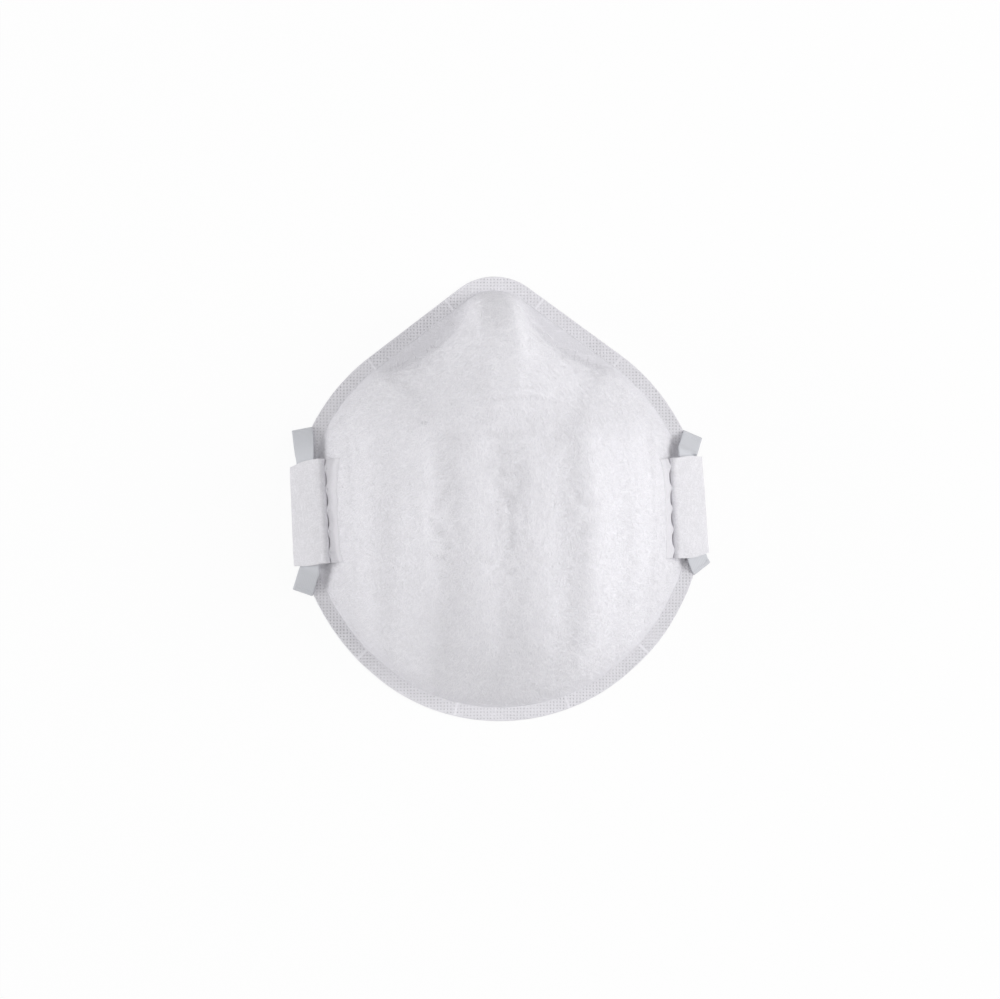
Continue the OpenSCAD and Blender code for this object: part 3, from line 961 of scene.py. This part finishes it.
def ribShadingShare(points):
    # 1 where shade is painted into the valleys between the ribs, below 0 where light is painted onto the
    # outer panels
    x, y = points[..., 0], points[..., 1]
    onRight = ease((x - ribShading["rightFrom"]) / ribShading["rightFade"])
    grooveShade = (0.5 + 0.5 * cosD(360 * x / cup["ribPitch"])) ** 2
    grooveShade = grooveShade * ease((cup["ribEdge"] - abs(x)) / cup["ribFade"]) * (1 - ribShading["rightLessShade"] * onRight)
    litPanel = between(abs(x), *ribShading["litPanelWindow"]) * (ribShading["litPanelShare"] + ribShading["rightMoreLight"] * onRight)
    return between(y, *ribShading["window"]) * (grooveShade - litPanel)


def feltDome():
    table = outlineTable(dome["step"])
    front, normal, full = frontSurface(table, dome["rows"], 8)
    tuck = rimRow(table, cup["rimW"] - 0.15)
    tuck[:, 2] -= 0.12
    tuckLow = tuck - np.array([0, 0, 0.2])
    back = (front - depthOf(1, full)[:, None, None] * smoothedNormals(normal, 3))[::6]
    back[0] = back[0].mean(0)
    points = np.concatenate([front, tuck[None], tuckLow[None], back[::-1]])
    piece = gridPiece("feltDome", swayed(points), merge=False)
    out = fromCrease(table, dome["rows"], 8)
    values = np.zeros(points.shape[:2])
    # painted shade over the nose wings, darkest along the crease below the nose bump
    values[: len(front)] = table[None, :, 4] * ease(out / 0.9 + 1) * (1 - 0.4 * ease(out / 6))
    paint(piece, "pressed", values)
    # painted shade in the rib valleys and painted light on the outer panels
    paint(piece, "ribShading", ribShadingShare(points))
    editMesh(piece, weld)
    return piece


domePiece = feltDome()
finishPiece(domePiece, "root", "needle_felt", feltMat, "outer_cover")

rim = {
    "step": 0.21,
    "topRows": 21,
    "pitch": (1.03, 0.985),
    "turn": 0.9,
    "depth": 0.16,
    "seams": [(14.5, 61), (-14.5, 61), (38, 42), (-38, 42), (44, -47), (-44, -47), (-15, -65.4), (20, -64)],
    "seamWidth": 0.32,
    "seamReach": 8,
    "edge": [(0.03, 0.94), (-0.02, 0.86), (-0.02, 0.75)],  # inset and height down the outer edge
}
rimMat = cloth(
    "pressedRim",
    color=(0.765, 0.755, 0.79),
    bump=0.35,
    bumpDepth=0.12,
    dots=(*rim["pitch"], math.radians(rim["turn"]), 0.52),
    dotMask="pressed",
    dotShare=0.25,
    dotDepth=0.8,
    painted={"seam": 0.09},
    roughness=0.7,
)


def pressedRim():
    table = outlineTable(rim["step"])
    insets = np.linspace(cup["rimW"] + 0.12, 0.12, rim["topRows"])
    top = np.array([rimRow(table, inset) for inset in insets])
    x, y, _ = np.moveaxis(top, -1, 0)
    turned = aboutZ(top, rim["turn"])
    both = (cosD(360 * turned[..., 0] / rim["pitch"][0]) + cosD(360 * turned[..., 1] / rim["pitch"][1])) / 2
    inner = insets[:, None] + lumps(top, (0.25, 7, 21))
    mask = between(inner, 0.1, cup["rimW"] + 0.1, 0.3, 0.5) * (0.88 + lumps(top, (0.14, 9, 22)))
    seam = np.zeros_like(mask)
    for sx, sy in rim["seams"]:
        k = np.argmin((x[0] - sx) ** 2 + (y[0] - sy) ** 2)
        way = unit(np.array([y[-1, k] - y[0, k], x[0, k] - x[-1, k]]))
        gap = (x - x[0, k]) * way[0] + (y - y[0, k]) * way[1]
        near = (x - sx) ** 2 + (y - sy) ** 2 < rim["seamReach"] ** 2
        seam = np.maximum(seam, near * ease(1.6 - abs(gap) / rim["seamWidth"]))
    mask = np.clip(mask * (1 - seam), 0, 1)
    swell = lumps(top, (0.03, 6, 23)) * ease(insets)[:, None]
    top[..., 2] += 0.05 * seam - rim["depth"] * ease((both - 0.4) / 0.4) * mask + swell
    top[0, :, 2] += 0.05
    lift = sideLift(y[-1])
    rows = [*top, *[stacked(*edgeAt(table, inset), height + lift) for inset, height in rim["edge"]]]
    for inset in (0.03, 1.5, cup["rimW"]):
        rows.append(stacked(*edgeAt(table, inset), cup["rimT"] * (1 - cup["pressed"][0]) + lift))
    points = np.array([*rows, rows[0]])
    piece = gridPiece("pressedRim", swayed(points), merge=False)
    for label, value in (("pressed", mask), ("seam", seam)):
        values = np.zeros(points.shape[:2])
        values[: len(top)] = value
        paint(piece, label, values)
    editMesh(piece, weld)
    return piece


finishPiece(pressedRim(), "root", "needle_felt", rimMat, "outer_cover")


def innerLayers():
    table = outlineTable(1.6)
    rows, full = frontRows(table, 56, 5, 4)
    rows[..., 2] = mix(rows[..., 2], formHeight(rows[..., 0], rows[..., 1]), ease(full / 0.3)[:, None])
    normal = smoothedNormals(surfaceNormals(rows), 2)
    rows[-4:, :, :2] *= 0.9985
    for face, name, node, slot, material in (
        (1, "filterWebFront", "filter_web_front", "filter_web", webMat),
        (2, "filterWebBack", "filter_web_back", "filter_web", webMat),
        (3, "supportShell", "support_shell", "shell_web", shellMat),
        (4, "innerLining", "inner_lining", "lining_web", liningMat),
    ):
        finishPiece(layerPiece(name, rows, normal, full, face), "root", slot, material, node)


innerLayers()
print("cup made")


def applyModifier(piece, kind, **settings):
    modifier = piece.modifiers.new(kind, kind)
    for key, value in settings.items():
        setattr(modifier, key, value)
    bpy.ops.object.modifier_apply(modifier=kind)


def tabLoop(side, word):
    length, height = tab["length"][side], tab["height"]
    r = (height - tab["felt"]) / 2  # middle of the fabric
    far = tab["width"] - height / 2
    flat = np.linspace(0, 1, 22)[1:-1] * far
    weldRow, fold = np.linspace(-90, -270, 17), np.linspace(90, -90, 17)
    x = np.concatenate([r * cosD(weldRow), flat, far + r * cosD(fold), flat[::-1], r * cosD(weldRow[:1])])
    z = np.concatenate([r * sinD(weldRow), flat * 0 + r, r * sinD(fold), flat * 0 - r, r * sinD(weldRow[:1])])
    ys = np.linspace(-0.5, 0.5, 71)[:, None] * length
    grid = stacked(x[None], ys, z[None])
    onTop = ease((grid[..., 2] + 0.2) / 0.6)
    share = np.clip(grid[..., 0] / far, 0, 1)
    # the ends bow out a little and the upper face is soft and uneven
    grid[..., 1] += np.sign(ys) * np.sin(math.pi * share) * tab["endBow"] * (abs(ys) / length * 2) ** 6
    tilt = np.where(ys > 0, tab["endTilt"][side][1], tab["endTilt"][side][0])
    grid[..., 1] -= tilt * (abs(ys) / length * 2) ** 4 * np.clip(grid[..., 0], 0, None)
    soft = lumps(grid, (0.12, 12, 31 + side), (0.05, 4, 33 + side))
    puff = tab["puff"] * np.sin(math.pi * share) ** 0.7 + soft
    ridge = cosD(360 * ys / tab["weldPitch"])
    pinch = ease(1 - abs(grid[..., 0]) / tab["pinchReach"])
    grid[..., 2] += onTop * (puff - tab["pinch"] * ridge * pinch)
    grid[..., 0] += 0.16 * ridge * ease(-grid[..., 0] / r)
    piece = gridPiece(word + "TabLoop", inTab(grid, side), flip=side < 0)
    pick(piece)
    applyModifier(piece, "SOLIDIFY", thickness=tab["felt"] * mm, offset=0)
    corners = {"limit_method": "ANGLE", "angle_limit": math.radians(50)}
    applyModifier(piece, "BEVEL", width=tab["edgeRound"] * mm, segments=3, **corners)
    bpy.ops.object.shade_smooth()
    deselectAll()
    return piece


def onCup(local, side, hold):
    # lays points given on the side facet down on the cup, at their height over it, or holds them to the facet
    flat = local * [1, 1, 0]
    down = Vector(fromTab(np.array([0.0, 0, -1]), side, tab["facetSlope"]))
    start = onFacet(flat, side)
    out = np.zeros_like(start)
    for index in np.ndindex(start.shape[:-1]):
        hit = cupTree.ray_cast(Vector(start[index]) - down * 8, down)[0]
        out[index] = hit if hit else start[index]
    hold = np.broadcast_to(hold, local.shape[:-1])[..., None]
    return mix(out, start, hold) - np.array(down) * local[..., 2:]


def flangeDrift(y, side):
    # how far the weld row leans off the flange's middle line
    return -y * sinD(tab["lean"][side] - tab["flangeLean"][side])


def tabFlange(side, word):
    length, low = tab["length"][side], tab["flangeEdge"]
    ys = np.linspace(-0.5, 0.5, 127) * length
    wave = (0.5 + 0.5 * cosD(360 * ys / tab["weldPitch"]))[:, None]  # 1 at the welds
    line = stacked(ys, 0, 0)
    inner = (lumps(line, (0.26, 7, 41 + side)) - tab["flangeWidth"])[:, None]
    crest = flangeDrift(ys, side)[:, None] + tab["crest"][side]
    crest = crest + tab["scallop"] * wave ** 2 + lumps(line, (0.05, 3, 42 + side))[:, None]
    height = mix(*tab["flangeHeight"], wave ** 2)
    # from its inner edge to the crest beside the loop, then down and on under the loop
    across = np.concatenate([np.linspace(0, 0.7, 13), np.linspace(0.7, 1, 10)[1:]])
    beyond = np.array([0.12, 0.3, 0.55, 0.9, 1.3])
    climb = low + 0.28 * ease(across / 0.13) + (height - 0.33) * ease((across - 0.62) / 0.38) ** 1.4
    fall = mix(height, 0.12, ease(beyond / 0.6))
    x = np.concatenate([mix(inner, crest, across), crest + beyond], 1)
    top = stacked(x, ys[:, None], np.concatenate([climb, fall], 1))
    top[..., 2] += lumps(top * [1, 1, 0], (0.03, 4, 43 + side))
    hold = np.concatenate([ease((across - 0.5) / 0.5), np.ones(len(beyond))])
    ends = ease((length / 2 - abs(ys)) / 0.35)[:, None]
    top[..., 2] = mix(low, top[..., 2], ends)
    under = stacked(mix(x, x.mean(1, keepdims=True), 0.04), ys[:, None], tab["flangeFoot"])
    grid = np.concatenate([top, under[:, ::-1], top[:, :1]], 1)
    hold = np.concatenate([hold, 0 * hold, hold[:1]])
    return gridPiece(word + "TabFlange", onCup(grid, side, hold), fill=True, flip=side < 0, sharp=60)


def weldSpots(side, word):
    spots = []
    for k in range(tab["welds"]):
        deselectAll()
        bpy.ops.mesh.primitive_uv_sphere_add(segments=24, ring_count=12, radius=mm)
        spot = bpy.context.object
        y = (k - (tab["welds"] - 1) / 2) * tab["weldPitch"]
        middle = [flangeDrift(y, side) + tab["weldRow"], y, tab["weldHeight"]]
        local = pointsOf(spot) * tab["weldSize"] + middle
        writeAll(spot.data.vertices, "co", onFacet(local, side) * mm)
        if side < 0:
            spot.data.flip_normals()
        spots.append(spot)
    for spot in spots:
        spot.select_set(True)
    bpy.context.view_layer.objects.active = spots[0]
    bpy.ops.object.join()
    piece = bpy.context.object
    piece.name = piece.data.name = word + "WeldSpots"
    bpy.ops.object.shade_smooth()
    deselectAll()
    return piece


domeFaces = [list(face.vertices) for face in domePiece.data.polygons]
cupTree = BVHTree.FromPolygons(pointsOf(domePiece).tolist(), domeFaces)
for side, word in ((-1, "left"), (1, "right")):
    loop = tabLoop(side, word)
    finishPiece(loop, word + "_tab", "tab_felt", tabMat, word + "_tab")
    finishPiece(tabFlange(side, word), "root", "tab_felt", flangeMat, word + "_tab_flange")
    finishPiece(weldSpots(side, word), "root", "fused_felt", fusedMat, word + "_weld_points")
print("tabs made")


fibres = {
    "count": 36000,
    "pieces": 5,
    "from": 2.4,  # the height where they start, coming in over the fade
    "fade": 4,
    "radius": (0.055, 0.12),
    "length": (2.6, 7.4),
    "wander": 24,
    "curl": 32,
    "rise": 0.012,
    "proud": 0.018,
    "flatness": 0.3,
    "sunk": (0.08, 0.01, 0, 0.01, 0.08),
    "seed": 7,
}


def flowAngle(x, y):
    # the way the fibres lie, seen from the front: across the nose, down the middle and outwards below
    r = abs(x)
    middle = 90 + r * 1.05
    nose = 180 - 50 * np.minimum(r / 12, 1) + np.maximum(r - 12, 0)
    angle = mix(middle, nose, ease((y - 16) / 26))
    return np.where(x < 0, 180 - angle, angle)


def growFibres(base, count):
    # each fibre is five points on the felt, found by steps along its surface
    rng = np.random.default_rng(fibres["seed"])
    base.data.calc_loop_triangles()
    tris = readAll(base.data.loop_triangles, "vertices", 3)
    co = pointsOf(base)
    a, b, c = (co[tris[:, k]] for k in range(3))
    cross = np.cross(b - a, c - a)
    area = np.linalg.norm(cross, axis=1) / 2
    facing = cross[:, 2] > 0
    height = (a[:, 2] + b[:, 2] + c[:, 2]) / 3
    tilt = np.abs(cross[:, 2]) / np.maximum(area * 2, 1e-9)
    weight = area * facing * ease((height - fibres["from"]) / fibres["fade"]) * (0.3 + 0.7 * tilt)
    tree = BVHTree.FromPolygons(co.tolist(), tris[facing].tolist())
    chosen = rng.choice(len(tris), size=count, p=weight / weight.sum())
    u, v = rng.random(count), rng.random(count)
    over = u + v > 1
    u, v = np.where(over, 1 - u, u), np.where(over, 1 - v, v)
    spot = a[chosen] + u[:, None] * (b - a)[chosen] + v[:, None] * (c - a)[chosen]
    length = rng.uniform(*fibres["length"], count)
    angle = flowAngle(spot[:, 0], spot[:, 1]) + rng.normal(0, fibres["wander"], count)
    angle = angle + 180 * (rng.random(count) < 0.5)
    curl = rng.normal(0, fibres["curl"], count)
    rise = rng.normal(0, fibres["rise"], count) + fibres["proud"]
    points = np.zeros((count, 5, 3))
    normals = np.zeros((count, 5, 3))
    for k, sunk in enumerate(fibres["sunk"]):
        for i in range(count):
            spot[i], normals[i, k] = tree.find_nearest(spot[i])[:2]
        n = normals[:, k]
        points[:, k] = spot + n * (rise - sunk)[:, None]
        climb = -(n[:, 0] * cosD(angle) + n[:, 1] * sinD(angle)) / np.maximum(n[:, 2], 0.25)
        spot = spot + unit(stacked(cosD(angle), sinD(angle), climb)) * (length / 4)[:, None]
        angle = angle + curl
    return points, normals


def fibrePiece(name, points, normals):
    # thin three-sided rods that end in points
    count = len(points)
    radius = np.random.default_rng(ord(name[-1])).uniform(*fibres["radius"], (count, 1, 1))
    along = unit(points[:, 2:] - points[:, :-2])
    side = unit(np.cross(along, normals[:, 1:-1]))
    top = fibres["flatness"] * np.cross(side, along)
    ring = [points[:, 1:-1] + radius * (cosD(a) * side + sinD(a) * top) for a in (90, 210, 330)]
    body = np.stack(ring, 2).reshape(count, 9, 3)
    co = np.concatenate([points[:, :1], body, points[:, -1:]], 1)
    shape = [(0, 1, 2), (0, 2, 3), (0, 3, 1)]
    for r in (1, 4):
        for q, s in ((0, 1), (1, 2), (2, 0)):
            shape.append((r + q, r + q + 3, r + s + 3, r + s))
    shape += [(10, 8, 7), (10, 9, 8), (10, 7, 9)]
    loops = np.arange(count)[:, None] * 11 + np.concatenate(shape)
    ends = np.cumsum(np.tile([len(face) for face in shape], count))
    mesh = bpy.data.meshes.new(name)
    mesh.vertices.add(count * 11)
    writeAll(mesh.vertices, "co", co * mm)
    mesh.loops.add(loops.size)
    writeAll(mesh.loops, "vertex_index", loops, np.int32)
    mesh.polygons.add(len(ends))
    writeAll(mesh.polygons, "loop_start", [0, *ends[:-1]], np.int32)
    mesh.update(calc_edges=True)
    piece = bpy.data.objects.new(name, mesh)
    bpy.context.scene.collection.objects.link(piece)
    # painted shade in the rib valleys and painted light on the outer panels
    paint(piece, "ribShading", ribShadingShare(co))
    return piece


strands, strandNormals = growFibres(domePiece, fibres["count"])
for k in range(fibres["pieces"]):
    part = slice(k, None, fibres["pieces"])
    piece = fibrePiece("feltFibres" + "ABCDEF"[k], strands[part], strandNormals[part])
    finishPiece(piece, "root", "needle_felt", fibreMat)
print("fibres made")


def foamMaterial():
    material, tree, place = newMaterial("noseFoam")
    cells = put(tree, "ShaderNodeTexVoronoi", {"Vector": place, "Scale": 1700.0}, feature="F1")
    depth = smoothStep(cells.outputs["Distance"], 0.15, 0.6)
    dress(tree, depth, (0.12, 0.12, 0.13), (0.34, 0.35, 0.37), depth, (0.8, 0.3), Roughness=0.95)
    return material


strips = {
    "noseFoam": {
        "shares": (0.79, 0.92),  # from and to, as shares of the way out from the cup's middle
        "reach": 0.8,  # to each side, as a share of the ridge's length
        "depth": sum(cup["layers"]) + 0.2,  # under the felt's face
        "thick": 3,
        "soft": 1,  # 1 where its lower face is rounded and rough, 0 where it is plain
    },
    "noseClip": {"shares": (0.80, 0.865), "reach": 0.66, "depth": 0.8, "thick": 0.6, "soft": 0},
}


def noseStrip(name):
    # a strip across the nose between two depths under the face of the cup
    strip = strips[name]
    start, end = strip["shares"]
    table = outlineTable(0.9)
    side = int(strip["reach"] * np.flatnonzero(table[: len(table) // 2, 5] > 0).max())
    columns = np.arange(-side, side + 1) % (len(table) - 1)
    wide = np.array([cupRow(table, start + (end - start) / 8 * k) for k in range(-4, 13)])
    wide[..., 2] = formHeight(wide[..., 0], wide[..., 1])
    normals = smoothedNormals(surfaceNormals(wide), 3)[4:13, columns]
    top = wide[4:13, columns]
    full = mix(1, np.sin(math.pi * np.linspace(0.06, 0.94, 9)) ** 0.35, strip["soft"])[:, None, None]
    low = top - (strip["depth"] + strip["thick"] * full) * normals
    pores = strip["soft"] * lumps(low, (0.09, 1.6, 51), (0.07, 3.1, 52))
    low = low + pores[..., None] * normals
    top = top - strip["depth"] * normals
    return gridPiece(name, np.concatenate([top, low[::-1], top[:1]]), fill=True, sharp=50)


foam = noseStrip("noseFoam")
finishPiece(foam, "root", "foam", foamMaterial(), "nose_foam")


def clipMaterial():
    material, tree, place = newMaterial("softAluminium")
    along = put(tree, "ShaderNodeMapping", {"Vector": place, "Scale": (60, 2500, 2500)}).outputs[0]
    rolled = noise(along, 1.0, Detail=3.0)
    rough = put(tree, "ShaderNodeMapRange", {"Value": rolled, "To Min": 0.3, "To Max": 0.5}).outputs["Result"]
    surface = {"Roughness": rough, "Metallic": 1.0}
    dress(tree, rolled, (0.70, 0.71, 0.72), (0.80, 0.81, 0.82), rolled, (0.2, 0.05), **surface)
    return material


finishPiece(noseStrip("noseClip"), "root", "soft_aluminium", clipMaterial(), "nose_clip")
print("nose pieces made")


studio = {
    "floorSize": 6,
    "floorZ": -0.00012,
    "floorTone": 0.92,
    "whiteShare": 0.92,
    "world": 0.42,
    # name, where from, size, level at the mask, aimed at it
    "lamps": [
        ("keyLamp", (1.272, 0.0, 0.795), 0.9, 0.54),
        ("leftLamp", (-1.449, 0.0, 0.388), 0.78, 0.40),
        ("frontLamp", (0.0, 0.1, 1.5), 0.9, 0.18),
    ],
}


def whiteWhereSeen(tree, seen, white, lit, out):
    # the camera and reflections see white, while the light stays as it is
    path = put(tree, "ShaderNodeLightPath").outputs
    clear = calc("MAXIMUM", path["Is Glossy Ray"], path["Is Transmission Ray"])
    rays = calc("MAXIMUM", path["Is Camera Ray"], clear)
    mixed = put(tree, "ShaderNodeMixShader", {0: calc("MULTIPLY", rays, seen), 1: lit, 2: white})
    setInputs(tree, out, {"Surface": mixed.outputs[0]})


def layFloor():
    deselectAll()
    bpy.ops.mesh.primitive_plane_add(size=studio["floorSize"], location=(0, 0, studio["floorZ"]))
    floor = bpy.context.object
    floor.name = "floor"
    material, tree, _ = newMaterial("paleFloor")
    tone = (*[studio["floorTone"]] * 3, 1)
    shader = tree.nodes["Principled BSDF"]
    setInputs(tree, shader, {"Base Color": tone, "Roughness": 1.0, "Specular IOR Level": 0.0})
    white = put(tree, "ShaderNodeEmission", {"Color": (1, 1, 1, 1), "Strength": 1.0}).outputs[0]
    whiteWhereSeen(tree, studio["whiteShare"], white, shader.outputs[0], tree.nodes["Material Output"])
    floor.data.materials.append(material)


def lightAll():
    world = bpy.data.worlds.new("studio")
    bpy.context.scene.world = world
    world.use_nodes = True
    tree = world.node_tree
    tree.nodes.clear()
    lit, white = (
        put(tree, "ShaderNodeBackground", {"Color": (level, level, level, 1), "Strength": 1.0}).outputs[0]
        for level in (studio["world"], 1)
    )
    whiteWhereSeen(tree, 1.0, white, lit, tree.nodes.new("ShaderNodeOutputWorld"))
    for name, spot, size, level in studio["lamps"]:
        deselectAll()
        bpy.ops.object.light_add(type="AREA", location=spot)
        lamp = bpy.context.object
        lamp.name = name
        lamp.data.shape = "DISK"
        lamp.data.size = size
        lamp.data.energy = level * math.pi ** 2 * Vector(spot).length_squared
        lamp.rotation_euler = Vector(spot).to_track_quat("Z", "Y").to_euler()


layFloor()
lightAll()
bpy.context.scene.view_settings.view_transform = "Standard"
print("studio ready")
